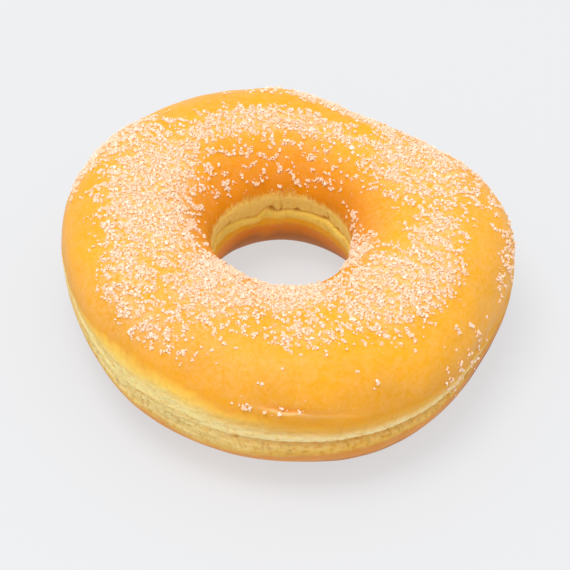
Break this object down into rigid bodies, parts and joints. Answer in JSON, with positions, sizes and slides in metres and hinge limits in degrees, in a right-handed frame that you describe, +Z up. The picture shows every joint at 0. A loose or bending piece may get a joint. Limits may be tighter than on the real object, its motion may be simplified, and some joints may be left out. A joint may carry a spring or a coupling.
{
  "type": "sugared ring doughnut",
  "caption": "Ring doughnut of raised dough, fried golden on both sides with a pale creased waist, open through the middle and sprinkled with coarse sugar on top.",
  "frame": {"origin": "on the surface that the doughnut rests on, under the middle of the box round it", "axes": "+Z up out of the sugared top, along the hole; +Y away from the near side that the picture shows; +X to the right of somebody who looks at the near side"},
  "size_m": [0.0922, 0.094, 0.033],
  "materials": {
    "golden_crust": "soft golden fried crust with a satin sheen of fat, pale unfried dough at the waist",
    "coarse_sugar": "clear to white sugar crystals"
  },
  "bodies": {
    "root": {"doughnut": "golden_crust"}
  },
  "joints": []
}
